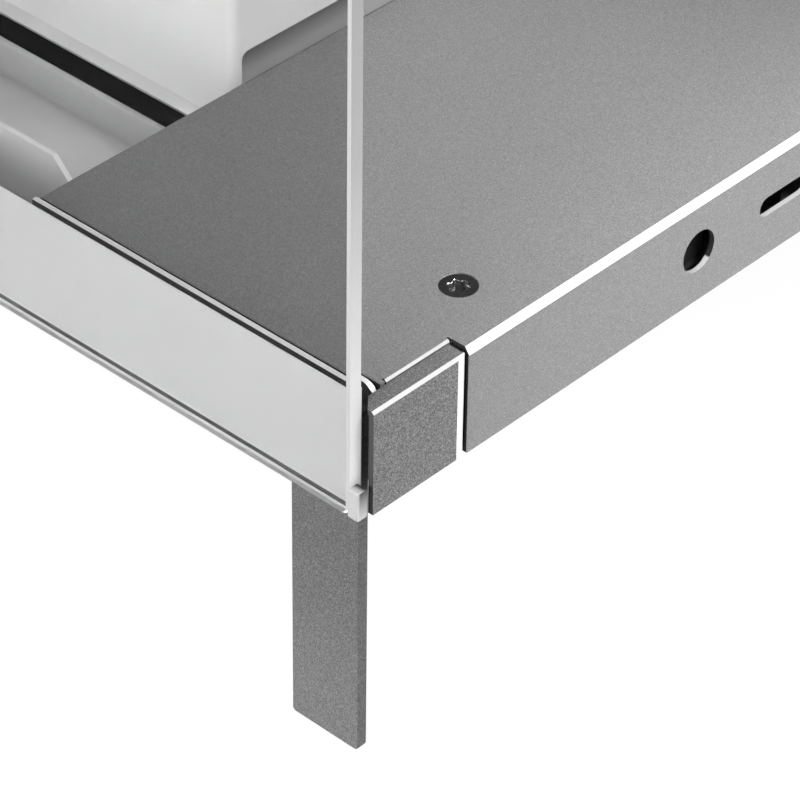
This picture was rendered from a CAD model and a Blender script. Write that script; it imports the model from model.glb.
"""Studio view of a mid tower PC case, looking down on its lower front left corner.

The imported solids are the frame. The classes below give each sub-assembly its finishes and small
pieces, and the studio gives the floor, the lamps and the camera. Lengths are in metres.
"""

import logging
import math
from dataclasses import dataclass, replace
from enum import Enum

import bmesh
import bpy
from mathutils import Matrix, Vector


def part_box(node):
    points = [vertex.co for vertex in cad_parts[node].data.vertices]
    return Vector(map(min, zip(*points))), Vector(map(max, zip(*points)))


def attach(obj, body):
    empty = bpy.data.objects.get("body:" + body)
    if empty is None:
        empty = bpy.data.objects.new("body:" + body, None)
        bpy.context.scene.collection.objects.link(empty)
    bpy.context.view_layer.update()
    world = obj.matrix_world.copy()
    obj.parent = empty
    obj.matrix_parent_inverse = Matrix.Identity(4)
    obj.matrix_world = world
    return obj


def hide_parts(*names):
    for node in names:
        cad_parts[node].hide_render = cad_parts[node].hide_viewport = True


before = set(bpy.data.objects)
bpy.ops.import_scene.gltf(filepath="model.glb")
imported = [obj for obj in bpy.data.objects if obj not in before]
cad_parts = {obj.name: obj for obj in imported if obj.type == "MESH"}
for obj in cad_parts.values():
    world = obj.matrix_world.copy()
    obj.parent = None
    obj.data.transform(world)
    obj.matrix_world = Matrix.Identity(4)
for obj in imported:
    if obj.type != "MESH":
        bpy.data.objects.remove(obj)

LOG = logging.getLogger("case")
# Most values of a noise texture lie between these two.
NOISE_LOW, NOISE_HIGH = 0.3, 0.7
WHITE = (1.0, 1.0, 1.0, 1.0)
Triple = tuple[float, float, float]
Socket = bpy.types.NodeSocket


class Cut(Enum):
    """Directions that a bright-cut edge or a polished face looks in."""

    DECK_FRONT = ((0.0, -0.809, 0.588),)
    LIP = ((0.0, -0.7071, 0.7071),)
    BLOCK_SIDES = ((0.2, -0.98, 0.0), (-0.2, -0.98, 0.0))
    PANE_FRONT = ((-0.7071, -0.7071, 0.0),)
    PANE_FOOT = ((-0.7071, 0.0, -0.7071),)
    UP = ((0.0, 0.0, 1.0),)
    LEFT = ((-1.0, 0.0, 0.0),)
    SIDES = ((-1.0, 0.0, 0.0), (1.0, 0.0, 0.0))


@dataclass(frozen=True)
class CutEdge:
    """Finish of the faces that look one way, all over or only in front of a plane."""

    cut: Cut
    tone: float
    roughness: float
    limit: float = 0.993
    front: float = math.inf


@dataclass(frozen=True)
class Relief:
    """Fine relief of a surface: how much of it shows, and its height."""

    strength: float
    depth: float


class Tree:
    """Node tree of a material or of the sky, with short calls for its nodes."""

    def __init__(self, owner: bpy.types.Material | bpy.types.World) -> None:
        """Opens the tree that its owner starts with.

        Args:
            owner: the material or the sky.
        """
        owner.use_nodes = True
        self.tree = owner.node_tree

    def found(self, *kinds: str) -> bpy.types.Node:
        """Finds the first node that is of one of some kinds."""
        return next(node for node in self.tree.nodes if node.type in kinds)

    def node(self, kind: str, **settings: object) -> bpy.types.Node:
        """Adds a node.

        Args:
            kind: the node's type name.
            settings: properties to set on it.

        Returns:
            The new node.
        """
        made = self.tree.nodes.new(kind)
        for key, value in settings.items():
            setattr(made, key, value)
        return made

    def feed(self, socket: Socket, value: object) -> None:
        """Links a socket to another, or sets its value.

        Args:
            socket: the input socket.
            value: an output socket, or a plain value.
        """
        if isinstance(value, Socket):
            self.tree.links.new(value, socket)
        else:
            socket.default_value = value

    def fill(self, node: bpy.types.Node, **values: object) -> None:
        """Feeds inputs of a node, named with underscores for the spaces in their names."""
        for name, value in values.items():
            self.feed(node.inputs[name.replace("_", " ")], value)

    def calc(self, operation: str, first: object, second: object = 0.0) -> Socket:
        """Works out a number from two.

        Args:
            operation: name of the operation.
            first: number or socket.
            second: number or socket.

        Returns:
            The result.
        """
        made = self.node("ShaderNodeMath", operation=operation)
        self.feed(made.inputs[0], first)
        self.feed(made.inputs[1], second)
        return made.outputs[0]

    def seen(self) -> Socket:
        """Finds the rays that show the surroundings.

        Returns:
            1 for camera, glossy and transmission rays, 0 for the rest.
        """
        path = self.node("ShaderNodeLightPath").outputs
        total = path["Is Camera Ray"]
        for name in ("Is Glossy Ray", "Is Transmission Ray"):
            total = self.calc("MAXIMUM", total, path[name])
        return total

    def mix(self, factor: Socket, first: bpy.types.Node, second: bpy.types.Node) -> None:
        """Sends a mix of two shaders to the tree's output.

        Args:
            factor: 0 for the first, 1 for the second.
            first: a shader.
            second: a shader.
        """
        made = self.node("ShaderNodeMixShader")
        for socket, value in zip(made.inputs, (factor, first.outputs[0], second.outputs[0])):
            self.feed(socket, value)
        self.fill(self.found("OUTPUT_MATERIAL", "OUTPUT_WORLD"), Surface=made.outputs[0])


class Graph(Tree):
    """Node tree of one finish, with short calls for the patterns that the finishes share."""

    def __init__(self, name: str) -> None:
        """Starts a material with its main shader.

        Args:
            name: name of the material.
        """
        self.material = bpy.data.materials.new(name)
        super().__init__(self.material)
        self.shader = self.found("BSDF_PRINCIPLED")
        self.place = self.node("ShaderNodeTexCoord")

    def set(self, **values: object) -> None:
        """Feeds inputs of the main shader, named as for fill."""
        self.fill(self.shader, **values)

    def noise(self, scale: float, detail: float = 2.0) -> Socket:
        """Noise over the piece.

        Args:
            scale: grains per metre.
            detail: number of finer layers.

        Returns:
            The noise value.
        """
        made = self.node("ShaderNodeTexNoise")
        self.fill(made, Vector=self.place.outputs["Object"], Scale=scale, Detail=detail)
        return made.outputs["Fac"]

    def flakes(self, scale: float) -> Socket:
        """Random value for each small cell of the surface.

        Args:
            scale: cells per metre.

        Returns:
            A value from 0 to 1 that is even over a cell.
        """
        made = self.node("ShaderNodeTexVoronoi")
        self.fill(made, Vector=self.place.outputs["Object"], Scale=scale)
        split = self.node("ShaderNodeSeparateColor")
        self.fill(split, Color=made.outputs["Color"])
        return split.outputs["Red"]

    def axis(self, name: str) -> Socket:
        """One coordinate of the points of the piece.

        Args:
            name: X, Y or Z.

        Returns:
            The coordinate.
        """
        split = self.node("ShaderNodeSeparateXYZ")
        self.fill(split, Vector=self.place.outputs["Object"])
        return split.outputs[name]

    def reach_z(self, middle: float) -> Socket:
        """Distance above or below a level."""
        return self.calc("ABSOLUTE", self.calc("SUBTRACT", self.axis("Z"), middle))

    def inward_x(self, side: float) -> Socket:
        """Distance to the right of a plane that stands at an X."""
        return self.calc("SUBTRACT", self.axis("X"), side)

    def ahead_y(self, limit: float) -> Socket:
        """Gives 1 in front of a plane that stands at a Y, and 0 behind it."""
        return self.calc("LESS_THAN", self.axis("Y"), limit)

    def span(self, value: Socket, low: float, high: float, start: float, end: float) -> Socket:
        """Spreads a value over a new range and holds it there.

        Args:
            value: the value.
            low: value that gives start.
            high: value that gives end.
            start: first end of the new range.
            end: last end of the new range.

        Returns:
            The spread value.
        """
        made = self.node("ShaderNodeMapRange")
        self.fill(made, Value=value, From_Min=low, From_Max=high, To_Min=start, To_Max=end)
        return made.outputs["Result"]

    def vary(self, noise: Socket, start: float, end: float) -> Socket:
        """Spreads most of a noise over a new range."""
        return self.span(noise, NOISE_LOW, NOISE_HIGH, start, end)

    def around(self, noise: Socket, value: float, share: float) -> Socket:
        """Lets a value vary by a share of itself each way."""
        return self.vary(noise, value * (1 - share), value * (1 + share))

    def within(self, noise: Socket, value: float, reach: float) -> Socket:
        """Lets a value vary by a fixed amount each way."""
        return self.vary(noise, value - reach, value + reach)

    def grey(self, value: Socket, tint: Triple = (1.0, 1.0, 1.0)) -> Socket:
        """Colour of a given brightness.

        Args:
            value: brightness.
            tint: colour at brightness 1.

        Returns:
            The colour.
        """
        made = self.node("ShaderNodeCombineColor")
        for name, share in zip(("Red", "Green", "Blue"), tint):
            self.feed(made.inputs[name], self.calc("MULTIPLY", value, share))
        return made.outputs["Color"]

    def blend(self, factor: Socket, first: object, second: object) -> Socket:
        """Goes from one number to another.

        Args:
            factor: 0 for the first, 1 for the second.
            first: number or socket.
            second: number or socket.

        Returns:
            The blended number.
        """
        made = self.node("ShaderNodeMix")
        self.feed(made.inputs[0], factor)
        self.feed(made.inputs[2], first)
        self.feed(made.inputs[3], second)
        return made.outputs[0]

    def facing(self, cut: Cut, limit: float) -> Socket:
        """Picks the faces that look in one of a cut's directions.

        Args:
            cut: the directions, each of length 1.
            limit: cosine of the widest angle that still counts.

        Returns:
            1 on those faces and 0 elsewhere.
        """
        masks = []
        for direction in cut.value:
            made = self.node("ShaderNodeVectorMath", operation="DOT_PRODUCT")
            self.feed(made.inputs[0], self.place.outputs["Normal"])
            self.feed(made.inputs[1], direction)
            masks.append(self.calc("GREATER_THAN", made.outputs["Value"], limit))
        total = masks[0]
        for mask in masks[1:]:
            total = self.calc("MAXIMUM", total, mask)
        return total

    def bump(self, height: Socket, relief: Relief) -> None:
        """Gives the surface a fine relief.

        Args:
            height: the relief, from 0 to 1.
            relief: its strength and depth.
        """
        made = self.node("ShaderNodeBump")
        self.fill(made, Strength=relief.strength, Distance=relief.depth, Height=height)
        self.set(Normal=made.outputs["Normal"])


@dataclass(frozen=True)
class Finish:
    """Finish of some solids or pieces, which makes one material."""

    name: str

    def material(self) -> bpy.types.Material:
        """Builds the material.

        Returns:
            The material.
        """
        graph = Graph(self.name)
        self.lay(graph)
        return graph.material

    def lay(self, graph: Graph) -> None:
        """Lays the finish on a material that has just been started."""
        raise NotImplementedError


@dataclass(frozen=True)
class BlastedMetal(Finish):
    """Blasted metal with a sparkling grain, and bright-cut edges where it is asked for."""

    tone: float
    roughness: float = 0.45
    rough_reach: float = 0.05
    metallic: float = 0.4
    grain: float = 5200.0
    grain_low: float = 0.25
    grain_high: float = 0.75
    contrast: float = 0.42
    spark_start: float = 0.6
    cloud: float = 14.0
    cloud_share: float = 0.03
    relief: Relief = Relief(0.25, 0.00004)
    edges: tuple[CutEdge, ...] = ()

    def lay(self, graph: Graph) -> None:
        """Lays the grain with its sparks, then the edges over it.

        Args:
            graph: node tree of the material.
        """
        swing = self.tone * self.contrast
        grain = graph.noise(self.grain, detail=1.0)
        cloud = graph.around(graph.noise(self.cloud), 1.0, self.cloud_share)
        spark = graph.span(graph.flakes(self.grain), self.spark_start, 1.0, 0.0, 1.0)
        tone = graph.span(grain, self.grain_low, self.grain_high,
                          self.tone - swing, self.tone + swing)
        tone = graph.calc("MULTIPLY", tone, cloud)
        tone = graph.calc("ADD", tone, graph.calc("MULTIPLY", spark, swing))
        rough = graph.within(grain, self.roughness, self.rough_reach)
        for edge in self.edges:
            mask = graph.facing(edge.cut, edge.limit)
            if edge.front < math.inf:
                mask = graph.calc("MULTIPLY", mask, graph.ahead_y(edge.front))
            tone = graph.blend(mask, tone, edge.tone)
            rough = graph.blend(mask, rough, edge.roughness)
        graph.set(Base_Color=graph.grey(tone), Roughness=rough, Metallic=self.metallic)
        graph.bump(grain, self.relief)


@dataclass(frozen=True)
class SheetPaint(Finish):
    """Even paint on folded sheet, with a faint orange peel."""

    tone: float
    roughness: float = 0.5
    rough_reach: float = 0.06
    peel: float = 900.0
    cloud: float = 9.0
    cloud_share: float = 0.03
    relief: Relief = Relief(0.12, 0.00008)

    def lay(self, graph: Graph) -> None:
        """Lays the paint with its peel.

        Args:
            graph: node tree of the material.
        """
        peel = graph.noise(self.peel)
        tone = graph.around(graph.noise(self.cloud), self.tone, self.cloud_share)
        rough = graph.within(peel, self.roughness, self.rough_reach)
        graph.set(Base_Color=graph.grey(tone), Roughness=rough)
        graph.bump(peel, self.relief)


@dataclass(frozen=True)
class ClearGlass(Finish):
    """Clear tempered glass with polished faces and pale ground edges."""

    middle: float
    film_reach: float
    pane_reach: float
    index: float = 1.52
    face_tone: float = 0.79
    face_share: float = 0.01
    face_limit: float = 0.99
    edge_tone: float = 0.44
    edge_share: float = 0.04
    edge_gain: float = 1.8
    edge_clear: float = 0.1
    edge_rough: tuple[float, float] = (0.4, 0.55)
    front_tone: float = 0.33
    foot_tone: float = 0.95
    cut_limit: float = 0.95
    wave: float = 6.0
    grind: float = 2600.0

    def lay(self, graph: Graph) -> None:
        """Lays the ground edges, paler towards the film, and clears the faces.

        Args:
            graph: node tree of the material.
        """
        wave = graph.noise(self.wave, detail=1.0)
        grind = graph.noise(self.grind)
        face = graph.facing(Cut.SIDES, self.face_limit)
        reach = graph.reach_z(self.middle)
        gain = graph.span(reach, self.film_reach, self.pane_reach, 1.0, self.edge_gain)
        edge = graph.calc("MULTIPLY", graph.around(grind, self.edge_tone, self.edge_share), gain)
        edge = graph.blend(graph.facing(Cut.PANE_FRONT, self.cut_limit), edge, self.front_tone)
        edge = graph.blend(graph.facing(Cut.PANE_FOOT, self.cut_limit), edge, self.foot_tone)
        tone = graph.blend(face, edge, graph.around(wave, self.face_tone, self.face_share))
        rough = graph.blend(face, graph.vary(grind, *self.edge_rough), 0.0)
        clear = graph.blend(face, self.edge_clear, 1.0)
        graph.set(Base_Color=graph.grey(tone), Roughness=rough, IOR=self.index,
                  Transmission_Weight=clear)


@dataclass(frozen=True)
class PrintedFilm(Finish):
    """Opaque pale film behind glass, with a dark line along its outer edge."""

    tone: float
    middle: float
    line_start: float
    line_tone: float = 0.1
    grain: float = 1500.0
    tone_share: float = 0.015
    rough: tuple[float, float] = (0.55, 0.65)

    def lay(self, graph: Graph) -> None:
        """Lays the pale print and its line.

        Args:
            graph: node tree of the material.
        """
        grain = graph.noise(self.grain)
        line = graph.calc("GREATER_THAN", graph.reach_z(self.middle), self.line_start)
        tone = graph.blend(line, graph.around(grain, self.tone, self.tone_share), self.line_tone)
        graph.set(Base_Color=graph.grey(tone), Roughness=graph.vary(grain, *self.rough))


@dataclass(frozen=True)
class MilkyPad(Finish):
    """Milky pad that is pale towards its outer face and shaded towards its inner one."""

    middle: float
    inner_reach: float
    outer_reach: float
    outer_x: float
    front_pale: float = 0.0008
    top_pale: float = 0.0022
    side_tone: float = 0.24
    front_tone: float = 0.5
    top_tone: float = 0.34
    dark_tone: float = 0.02
    foot_tone: float = 0.5
    face_limit: float = 0.6
    haze: float = 700.0
    haze_share: float = 0.03
    rough: tuple[float, float] = (0.3, 0.4)

    def lay(self, graph: Graph) -> None:
        """Lays the shade of the front, then that of the top and the outer face.

        Args:
            graph: node tree of the material.
        """
        haze = graph.noise(self.haze)
        inside = graph.inward_x(self.outer_x)
        reach = graph.reach_z(self.middle)
        shade = graph.span(reach, self.inner_reach, self.outer_reach,
                           self.dark_tone, self.foot_tone)
        inner = graph.span(inside, 0.0, self.front_pale, 0.0, 1.0)
        front = graph.blend(inner, self.front_tone, shade)
        top = graph.span(inside, self.top_pale / 2, self.top_pale, self.top_tone, self.dark_tone)
        tone = graph.blend(graph.facing(Cut.UP, self.face_limit), front, top)
        tone = graph.blend(graph.facing(Cut.LEFT, self.face_limit), tone, self.side_tone)
        tone = graph.calc("MULTIPLY", tone, graph.around(haze, 1.0, self.haze_share))
        graph.set(Base_Color=graph.grey(tone), Roughness=graph.vary(haze, *self.rough))


@dataclass(frozen=True)
class ScrewSteel(Finish):
    """Blackened screw head with bare steel in its recess."""

    head_tone: float = 0.05
    head_rough: tuple[float, float] = (0.28, 0.42)
    head_limit: float = 0.9
    recess_tone: float = 0.75
    recess_rough: float = 0.12
    marks: float = 2600.0
    marks_share: float = 0.2
    relief: Relief = Relief(0.1, 0.00003)

    def lay(self, graph: Graph) -> None:
        """Lays the black on what faces up, and bare steel elsewhere.

        Args:
            graph: node tree of the material.
        """
        marks = graph.noise(self.marks, detail=3.0)
        head = graph.facing(Cut.UP, self.head_limit)
        tone = graph.blend(head, self.recess_tone, self.head_tone)
        tone = graph.calc("MULTIPLY", tone, graph.around(marks, 1.0, self.marks_share))
        rough = graph.blend(head, self.recess_rough, graph.vary(marks, *self.head_rough))
        graph.set(Base_Color=graph.grey(tone), Roughness=rough, Metallic=1.0)
        graph.bump(marks, self.relief)


@dataclass(frozen=True)
class TurnedSteel(Finish):
    """Plated steel or brass with fine tool marks."""

    colour: Triple
    shine: tuple[float, float] = (0.85, 1.1)
    roughness: float = 0.3
    rough_reach: float = 0.08
    marks: float = 2200.0
    relief: Relief = Relief(0.1, 0.00003)

    def lay(self, graph: Graph) -> None:
        """Lays the metal with its tool marks.

        Args:
            graph: node tree of the material.
        """
        marks = graph.noise(self.marks, detail=3.0)
        colour = graph.grey(graph.vary(marks, *self.shine), self.colour)
        rough = graph.within(marks, self.roughness, self.rough_reach)
        graph.set(Base_Color=colour, Roughness=rough, Metallic=1.0)
        graph.bump(marks, self.relief)


@dataclass(frozen=True)
class MouldedPlastic(Finish):
    """Moulded plastic or rubber with a fine texture."""

    tone: float
    roughness: float = 0.55
    rough_reach: float = 0.07
    tone_share: float = 0.07
    grain: float = 1800.0
    gloss: float = 0.5
    relief: Relief = Relief(0.15, 0.00004)

    def lay(self, graph: Graph) -> None:
        """Lays the plastic with its texture.

        Args:
            graph: node tree of the material.
        """
        grain = graph.noise(self.grain)
        tone = graph.around(grain, self.tone, self.tone_share)
        rough = graph.within(grain, self.roughness, self.rough_reach)
        graph.set(Base_Color=graph.grey(tone), Roughness=rough, Specular_IOR_Level=self.gloss)
        graph.bump(grain, self.relief)


@dataclass(frozen=True)
class WovenFilter(Finish):
    """Dark plastic frame with a fine woven mesh in its middle plane."""

    middle: float
    half_mesh: float = 0.0005
    threads: float = 550.0
    thread_low: float = 0.2
    thread_high: float = 0.8
    thread_tone: float = 0.09
    hole_tone: float = 0.004
    frame_tone: float = 0.03
    frame_share: float = 0.15
    grain: float = 1800.0
    rough: tuple[float, float] = (0.48, 0.62)
    relief: Relief = Relief(0.5, 0.0002)

    def lay(self, graph: Graph) -> None:
        """Lays the frame's plastic, and the weave near the middle plane.

        Args:
            graph: node tree of the material.
        """
        turns = self.threads * 2 * math.pi
        waves = [graph.calc("SINE", graph.calc("MULTIPLY", graph.axis(name), turns))
                 for name in ("X", "Y")]
        weave = graph.calc("MAXIMUM", *waves)
        weave = graph.span(weave, self.thread_low, self.thread_high, 0.0, 1.0)
        mesh = graph.calc("LESS_THAN", graph.reach_z(self.middle), self.half_mesh)
        grain = graph.noise(self.grain)
        plastic = graph.around(grain, self.frame_tone, self.frame_share)
        tone = graph.blend(mesh, plastic, graph.blend(weave, self.hole_tone, self.thread_tone))
        graph.set(Base_Color=graph.grey(tone), Roughness=graph.vary(grain, *self.rough))
        graph.bump(graph.calc("MULTIPLY", weave, mesh), self.relief)


class Assembly:
    """Sub-assembly whose solids take finishes."""

    def finishes(self) -> dict[Finish, tuple[str, ...]]:
        """Gives each finish the nodes that it covers, none where there are no solids to dress."""
        return {}

    def pieces(self) -> list[bpy.types.Object]:
        """Builds the pieces that the sub-assembly adds to its solids, if any."""
        return []

    def dress(self) -> list[str]:
        """Puts the finishes on the solids.

        Returns:
            Names of the dressed nodes.
        """
        done = []
        for finish, names in self.finishes().items():
            material = finish.material()
            for name in names:
                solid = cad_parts[name]
                solid.data.materials.clear()
                solid.data.materials.append(material)
                done.append(name)
        return done


@dataclass
class Base(Assembly):
    """Deck, corner blocks, rails, legs and their screws."""

    deck_tone: float = 0.22
    deck_sides: CutEdge = CutEdge(Cut.SIDES, tone=0.012, roughness=0.8, limit=0.75)
    deck_rim: CutEdge = CutEdge(Cut.UP, tone=0.6, roughness=0.3, limit=0.7)
    deck_front: CutEdge = CutEdge(Cut.DECK_FRONT, tone=0.97, roughness=0.12)
    deck_lip: CutEdge = CutEdge(Cut.LIP, tone=0.42, roughness=0.3)
    rim_depth: float = 0.0011
    block_tone: float = 0.142
    block_grain: float = 4400.0
    block_contrast: float = 0.9
    block_raw: CutEdge = CutEdge(Cut.SIDES, tone=0.04, roughness=0.5)
    block_lip: CutEdge = CutEdge(Cut.LIP, tone=0.48, roughness=0.28)
    block_sides: CutEdge = CutEdge(Cut.BLOCK_SIDES, tone=0.85, roughness=0.18)
    rail_tone: float = 0.1
    rail_top: CutEdge = CutEdge(Cut.UP, tone=0.95, roughness=0.3, limit=0.2)
    leg_tone: float = 0.085
    leg_grain: float = 3800.0
    leg_contrast: float = 0.7

    def finishes(self) -> dict[Finish, tuple[str, ...]]:
        """Gives each finish the nodes that it covers.

        Returns:
            Names of the nodes, by finish.
        """
        rim = replace(self.deck_rim, front=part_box("front_deck")[0].y + self.rim_depth)
        deck = BlastedMetal("deck_metal", self.deck_tone,
                            edges=(self.deck_sides, rim, self.deck_front, self.deck_lip))
        block = BlastedMetal("block_metal", self.block_tone, grain=self.block_grain,
                             contrast=self.block_contrast,
                             edges=(self.block_raw, self.block_lip, self.block_sides))
        rail = BlastedMetal("rail_metal", self.rail_tone, edges=(self.rail_top,))
        leg = BlastedMetal("leg_metal", self.leg_tone, grain=self.leg_grain,
                           contrast=self.leg_contrast)
        spots = [f"{end}_{side}" for end in ("front", "rear") for side in ("left", "right")]
        return {
            deck: ("front_deck",),
            block: ("corner_block_left", "corner_block_right"),
            rail: tuple(f"rail_{spot}" for spot in spots),
            leg: tuple(f"leg_{spot}" for spot in spots),
            ScrewSteel("dark_screw_steel"): ("leg_screws", "deck_screws"),
        }


@dataclass
class DeckScrews(Assembly):
    """Countersunk deck screws with a six-lobe recess."""

    segments: int = 96
    shank: float = 0.002
    cone: float = 0.002
    recess: float = 0.0023
    recess_depth: float = 0.0015
    recess_draft: float = 0.9
    lobes: int = 6
    lobe_depth: float = 0.27
    rim: float = 0.00016
    rim_segments: int = 3

    def pieces(self) -> list[bpy.types.Object]:
        """Builds the two screws as one piece.

        Returns:
            The piece, which stands for the screws' node.
        """
        low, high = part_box("deck_screws")
        radius = (high.y - low.y) / 2
        shape = bmesh.new()
        for x in (low.x + radius, high.x - radius):
            top = Vector((x, (low.y + high.y) / 2, high.z))
            self.screw(shape, top, radius, high.z - low.z)
        bmesh.ops.recalc_face_normals(shape, faces=shape.faces)
        mesh = bpy.data.meshes.new("deck_screw_heads")
        shape.to_mesh(mesh)
        shape.free()
        mesh.materials.append(ScrewSteel("deck_screw_steel").material())
        piece = bpy.data.objects.new("deck_screw_heads", mesh)
        bpy.context.scene.collection.objects.link(piece)
        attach(piece, "case")
        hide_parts("deck_screws")
        return [piece]

    def screw(self, shape: bmesh.types.BMesh, top: Vector, radius: float, length: float) -> None:
        """Adds one screw.

        Args:
            shape: mesh that takes the screw.
            top: middle of the head's top.
            radius: radius of the head.
            length: length of the screw.
        """
        made = bmesh.new()
        head = bmesh.ops.create_circle(made, segments=self.segments, radius=radius)["verts"]
        mouth = bmesh.ops.create_circle(made, segments=self.segments, radius=self.recess)["verts"]
        for vertex in mouth:
            turn = math.atan2(vertex.co.y, vertex.co.x) * self.lobes
            vertex.co *= 1 - self.lobe_depth * (1 - math.cos(turn)) / 2
        head_edges = self.loop(head)
        mouth_edges = self.loop(mouth)
        bmesh.ops.bridge_loops(made, edges=head_edges + mouth_edges)
        cone = self.drop(made, head_edges, self.cone, self.shank / radius)
        end = self.drop(made, cone, length - self.cone, 1.0)
        floor = self.drop(made, mouth_edges, self.recess_depth, self.recess_draft)
        for ring in (end, floor):
            bmesh.ops.edgeloop_fill(made, edges=ring)
        bmesh.ops.bevel(made, geom=mouth_edges, offset=self.rim, segments=self.rim_segments,
                        profile=0.5, affect="EDGES", material=-1)
        bmesh.ops.translate(made, vec=top, verts=made.verts)
        mesh = bpy.data.meshes.new("deck_screw")
        made.to_mesh(mesh)
        made.free()
        shape.from_mesh(mesh)
        bpy.data.meshes.remove(mesh)

    @staticmethod
    def loop(ring: list[bmesh.types.BMVert]) -> list[bmesh.types.BMEdge]:
        """Edges that join the vertices of a ring to each other.

        Args:
            ring: the vertices.

        Returns:
            The edges.
        """
        members = set(ring)
        edges = dict.fromkeys(edge for vertex in ring for edge in vertex.link_edges)
        return [edge for edge in edges if set(edge.verts) <= members]

    @staticmethod
    def drop(made: bmesh.types.BMesh, ring: list[bmesh.types.BMEdge], depth: float,
             size: float) -> list[bmesh.types.BMEdge]:
        """Draws a wall down from a ring of edges.

        Args:
            made: mesh of the ring.
            ring: the edges.
            depth: height of the wall.
            size: size of the lower ring against the upper one.

        Returns:
            Edges of the lower ring.
        """
        drawn = bmesh.ops.extrude_edge_only(made, edges=ring)["geom"]
        verts = [part for part in drawn if isinstance(part, bmesh.types.BMVert)]
        edges = [part for part in drawn if isinstance(part, bmesh.types.BMEdge)]
        bmesh.ops.scale(made, vec=(size, size, 1.0), verts=verts)
        bmesh.ops.translate(made, vec=(0.0, 0.0, -depth), verts=verts)
        return [edge for edge in edges if set(edge.verts) <= set(verts)]


@dataclass
class Pane(Assembly):
    """Glass side with its film, pads, hangers and studs."""

    film_tone: float = 0.675
    film_line: float = 0.0011
    film_fade: float = 0.08
    pad_height: float = 0.0068
    hanger_colour: Triple = (0.6, 0.6, 0.61)
    clip_tone: float = 0.05

    def finishes(self) -> dict[Finish, tuple[str, ...]]:
        """Gives each finish the nodes that it covers.

        Returns:
            Names of the nodes, by finish.
        """
        low, high = (corner.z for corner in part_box("pane_bands"))
        middle, half = (low + high) / 2, (high - low) / 2
        pane_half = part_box("left_glass_panel")[1].z - middle
        pad_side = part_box("glass_corner_pads")[0].x
        glass = ClearGlass("clear_glass", middle, half - self.film_fade, half)
        film = PrintedFilm("pale_film", self.film_tone, middle, half - self.film_line)
        pad = MilkyPad("pale_pad", middle, pane_half - self.pad_height, pane_half, pad_side)
        return {
            glass: ("left_glass_panel",),
            film: ("pane_bands",),
            pad: ("glass_corner_pads",),
            TurnedSteel("hanger_steel", self.hanger_colour): (
                "glass_hanger_bottom", "glass_hanger_top", "panel_studs_left", "panel_studs_right"),
            MouldedPlastic("clip_plastic", self.clip_tone): ("panel_clips",),
        }


@dataclass
class Body(Assembly):
    """Floor, shroud, rear, top, tray and right side of the case."""

    panel_tone: float = 0.33
    panel_metallic: float = 0.6
    slot_covers: int = 7
    floor_tone: float = 0.7
    sill_tone: float = 0.85
    shroud_tone: float = 0.9
    rubber_tone: float = 0.012
    rubber_roughness: float = 0.85
    rubber_gloss: float = 0.1
    screw_colour: Triple = (0.3, 0.3, 0.31)
    brass_colour: Triple = (0.72, 0.56, 0.28)
    post_colour: Triple = (0.55, 0.55, 0.56)

    def finishes(self) -> dict[Finish, tuple[str, ...]]:
        """Gives each finish the nodes that it covers.

        Returns:
            Names of the nodes, by finish.
        """
        panel = BlastedMetal("panel_metal", self.panel_tone, metallic=self.panel_metallic)
        rubber = MouldedPlastic("soft_rubber", self.rubber_tone, self.rubber_roughness,
                                gloss=self.rubber_gloss)
        covers = tuple(f"slot_cover_{number + 1}" for number in range(self.slot_covers))
        return {
            panel: ("top_panel", "front_pillar", "right_side_panel", "rear_panel", "slot_ledge",
                    "filter_runners") + covers,
            SheetPaint("floor_paint", self.floor_tone): ("floor_pan",),
            SheetPaint("sill_paint", self.sill_tone): ("sill_plate",),
            SheetPaint("shroud_paint", self.shroud_tone): ("psu_shroud", "motherboard_tray"),
            rubber: ("edge_strip", "psu_pads", "cable_grommets"),
            TurnedSteel("slot_screw_steel", self.screw_colour): ("slot_screws",),
            TurnedSteel("standoff_brass", self.brass_colour): ("standoffs",),
            TurnedSteel("post_steel", self.post_colour): ("deck_posts", "port_posts"),
        }


@dataclass
class Ports(Assembly):
    """Front ports with their board, and the power button."""

    board_tone: float = 0.04
    board_roughness: float = 0.4
    jack_tone: float = 0.015
    shell_colour: Triple = (0.08, 0.08, 0.082)
    button_tone: float = 0.36

    def finishes(self) -> dict[Finish, tuple[str, ...]]:
        """Gives each finish the nodes that it covers.

        Returns:
            Names of the nodes, by finish.
        """
        board = MouldedPlastic("board_lacquer", self.board_tone, self.board_roughness)
        return {
            board: ("port_board",),
            MouldedPlastic("port_plastic", self.jack_tone): ("audio_jack", "power_switch"),
            TurnedSteel("port_shell", self.shell_colour): ("usb_c_port", "usb_a_port"),
            BlastedMetal("button_metal", self.button_tone): ("power_button",),
        }


@dataclass
class Filter(Assembly):
    """Sliding dust filter."""

    def finishes(self) -> dict[Finish, tuple[str, ...]]:
        """Gives the filter its frame and mesh, whose plane is halfway up it."""
        low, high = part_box("dust_filter")
        return {WovenFilter("filter_mesh", (low.z + high.z) / 2): ("dust_filter",)}


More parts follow.
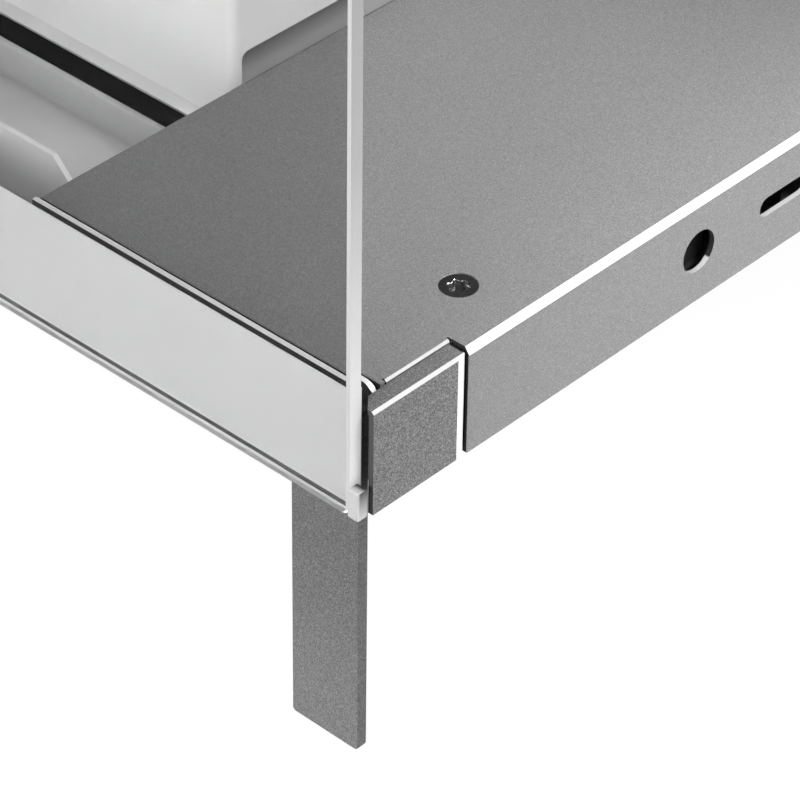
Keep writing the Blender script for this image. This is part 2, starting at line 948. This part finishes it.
@dataclass(frozen=True)
class Lamp:
    """Soft rectangular lamp that looks at a point."""

    name: str
    place: Triple
    target: Triple
    size: tuple[float, float]
    power: float
    spread: float = 180.0

    def build(self) -> None:
        """Adds the lamp to the scene, out of sight of the camera."""
        data = bpy.data.lights.new(self.name, "AREA")
        data.shape = "RECTANGLE"
        data.size, data.size_y = self.size
        data.energy = self.power
        data.spread = math.radians(self.spread)
        lamp = bpy.data.objects.new(self.name, data)
        lamp.location = self.place
        lamp.visible_camera = False
        aim = Vector(self.target) - Vector(self.place)
        lamp.rotation_euler = aim.to_track_quat("-Z", "Y").to_euler()
        bpy.context.scene.collection.objects.link(lamp)


@dataclass
class Studio:
    """White floor and surroundings, lamps and camera."""

    sky_light: float = 0.32
    floor_size: float = 24.0
    floor_tone: float = 0.9
    floor_roughness: float = 0.9
    floor_glow: float = 0.96
    flag_size: float = 1.2
    flag_place: Triple = (-0.14, 0.1, 0.0)
    flag_tone: float = 0.01
    lamps: tuple[Lamp, ...] = (
        Lamp("left_lamp", place=(-1.25, -0.2, 0.45), target=(-0.02, -0.1, 0.09),
             size=(1.2, 0.3), power=36.0),
        Lamp("deck_lamp", place=(0.02, -0.36, 0.3), target=(0.01, -0.27, 0.09),
             size=(0.12, 0.12), power=0.28, spread=80.0),
    )
    target: Triple = (-0.19079, -0.30889, 0.17620)
    azimuth: float = -47.430
    elevation: float = 37.670
    roll: float = 0.810
    distance: float = 0.62536
    lens: float = 183.76
    sensor: float = 36.0
    near: float = 0.01

    def sky(self) -> None:
        """Makes surroundings that look white and light the case softly."""
        world = bpy.data.worlds.new("studio_sky")
        tree = Tree(world)
        light = tree.found("BACKGROUND")
        tree.fill(light, Color=WHITE, Strength=self.sky_light)
        white = tree.node("ShaderNodeBackground")
        tree.fill(white, Color=WHITE)
        tree.mix(tree.seen(), light, white)
        bpy.context.scene.world = world

    def floor(self) -> None:
        """Lays a pale floor that keeps a light shadow."""
        material = bpy.data.materials.new("pale_floor")
        tree = Tree(material)
        matte = tree.found("BSDF_PRINCIPLED")
        tree.fill(matte, Base_Color=(self.floor_tone,) * 3 + (1.0,),
                  Roughness=self.floor_roughness, Specular_IOR_Level=0.0)
        glow = tree.node("ShaderNodeEmission")
        tree.mix(tree.calc("MULTIPLY", tree.seen(), self.floor_glow), matte, glow)
        bpy.ops.mesh.primitive_plane_add(size=self.floor_size)
        ground = bpy.context.object
        ground.name = "floor"
        ground.data.materials.append(material)

    def flag(self) -> None:
        """Hangs a dark flag that only reflections show, to keep them off the pane."""
        material = bpy.data.materials.new("dark_flag")
        tree = Tree(material)
        matte = tree.found("BSDF_PRINCIPLED")
        tree.fill(matte, Base_Color=(self.flag_tone,) * 3 + (1.0,), Roughness=1.0)
        clear = tree.node("ShaderNodeBsdfTransparent")
        path = tree.node("ShaderNodeLightPath")
        tree.mix(path.outputs["Glossy Depth"], clear, matte)
        bpy.ops.mesh.primitive_plane_add(size=self.flag_size, location=self.flag_place,
                                         rotation=(0.0, math.pi / 2, 0.0))
        card = bpy.context.object
        card.name = "dark_flag"
        card.data.materials.append(material)
        for kind in ("camera", "diffuse", "shadow", "volume_scatter"):
            setattr(card, f"visible_{kind}", False)

    def camera(self) -> None:
        """Puts the camera at the photograph's view."""
        turn, rise, roll = map(math.radians, (self.azimuth, self.elevation, self.roll))
        ahead = Vector((-math.sin(turn), math.cos(turn), 0.0))
        back = Vector((0.0, 0.0, math.sin(rise))) - ahead * math.cos(rise)
        level = Vector((math.cos(turn), math.sin(turn), 0.0))
        upright = back.cross(level)
        right = level * math.cos(roll) + upright * math.sin(roll)
        up = upright * math.cos(roll) - level * math.sin(roll)
        data = bpy.data.cameras.new("photo_camera")
        data.lens = self.lens
        data.sensor_width = self.sensor
        data.clip_start = self.near
        camera = bpy.data.objects.new("photo_camera", data)
        axes = Matrix((right, up, back)).transposed().to_4x4()
        camera.matrix_world = Matrix.Translation(Vector(self.target) + back * self.distance) @ axes
        bpy.context.scene.collection.objects.link(camera)
        bpy.context.scene.camera = camera

    def build(self) -> None:
        """Builds the whole studio."""
        self.sky()
        self.floor()
        self.flag()
        for lamp in self.lamps:
            lamp.build()
        self.camera()
        bpy.context.scene.view_settings.view_transform = "Standard"


def main() -> None:
    """Dresses the sub-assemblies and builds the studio."""
    logging.basicConfig(level=logging.INFO, format="%(message)s")
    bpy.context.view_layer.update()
    for assembly in (Base(), DeckScrews(), Pane(), Body(), Ports(), Filter()):
        for name in assembly.dress() + [piece.name for piece in assembly.pieces()]:
            LOG.info("%s: %s", type(assembly).__name__, name)
    Studio().build()


if __name__ == "__main__":
    main()
